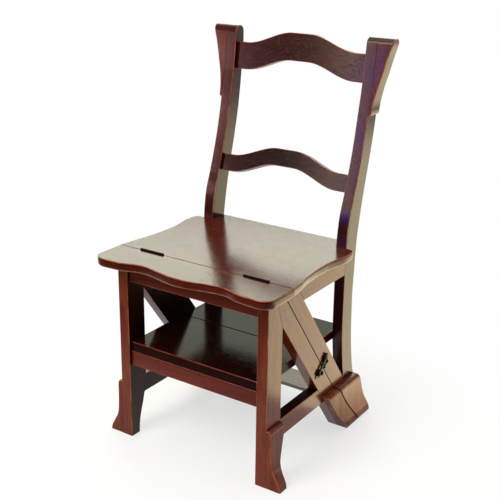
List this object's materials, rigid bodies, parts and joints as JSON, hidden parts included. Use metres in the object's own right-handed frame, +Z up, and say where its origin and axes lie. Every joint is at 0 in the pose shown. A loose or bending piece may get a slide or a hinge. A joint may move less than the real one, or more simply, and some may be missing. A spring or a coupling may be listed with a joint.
{
  "type": "folding library step chair",
  "caption": "Wooden chair with a shaped seat, waved back rails and flared feet that turns over at a hinge in the seat to become library steps.",
  "frame": {"origin": "under the middle of the chair, on the floor", "axes": "+Z up, the chair faces -Y, +X is the right-hand side as seen from in front of the chair"},
  "size_m": [0.474, 0.493, 0.902],
  "materials": {
    "wood": "dark red-brown mahogany colour under a semi-gloss lacquer, rubbed lighter on edges and feet",
    "iron": "blackened, satin"
  },
  "bodies": {
    "front_unit": {"diagonal_foot_pad_left": "wood", "diagonal_foot_pad_right": "wood", "front_apron": "wood", "front_diagonal_left": "wood", "front_diagonal_right": "wood", "front_foot_pad_left": "wood", "front_foot_pad_right": "wood", "front_glue_block_left": "wood", "front_glue_block_right": "wood", "front_leg_left": "wood", "front_leg_right": "wood", "front_seat_board": "wood", "front_shelf": "wood", "hinge_left_front_leaf": "iron", "hinge_left_front_screw_1": "iron", "hinge_left_front_screw_2": "iron", "hinge_left_pin": "iron", "hinge_right_front_leaf": "iron", "hinge_right_front_screw_1": "iron", "hinge_right_front_screw_2": "iron", "hinge_right_pin": "iron", "latch_pivot_left": "iron", "latch_pivot_right": "iron", "latch_plate_left": "iron", "latch_plate_right": "iron", "latch_plate_screw_left": "iron", "latch_plate_screw_right": "iron", "lower_side_rail_left": "wood", "lower_side_rail_right": "wood", "shelf_front_rail": "wood"},
    "rear_unit": {"catch_plate_left": "iron", "catch_plate_right": "iron", "catch_plate_screw_left": "iron", "catch_plate_screw_right": "iron", "crest_rail": "wood", "hinge_left_rear_leaf": "iron", "hinge_left_rear_screw_1": "iron", "hinge_left_rear_screw_2": "iron", "hinge_right_rear_leaf": "iron", "hinge_right_rear_screw_1": "iron", "hinge_right_rear_screw_2": "iron", "mid_rail": "wood", "rear_apron": "wood", "rear_diagonal_left": "wood", "rear_diagonal_right": "wood", "rear_foot_pad_left": "wood", "rear_foot_pad_right": "wood", "rear_glue_block_left": "wood", "rear_glue_block_right": "wood", "rear_leg_left": "wood", "rear_leg_right": "wood", "rear_seat_board": "wood", "rear_shelf": "wood", "side_apron_left": "wood", "side_apron_right": "wood", "top_block_left": "wood", "top_block_right": "wood", "top_step_board": "wood"},
    "hook_left": {"latch_hook_left": "iron"},
    "hook_right": {"latch_hook_right": "iron"}
  },
  "joints": [
    {"name": "seat_hinge", "type": "hinge", "parent": "front_unit", "child": "rear_unit", "pos_m": [0, -0.1535, 0.451], "axis": [1, 0, 0], "range_deg": [0, 180]},
    {"name": "hook_left_pivot", "type": "hinge", "parent": "front_unit", "child": "hook_left", "pos_m": [-0.2006, 0.01091, 0.184], "axis": [1, 0, 0], "range_deg": [0, 225]},
    {"name": "hook_right_pivot", "type": "hinge", "parent": "front_unit", "child": "hook_right", "pos_m": [0.2006, 0.01091, 0.184], "axis": [1, 0, 0], "range_deg": [0, 225]}
  ]
}
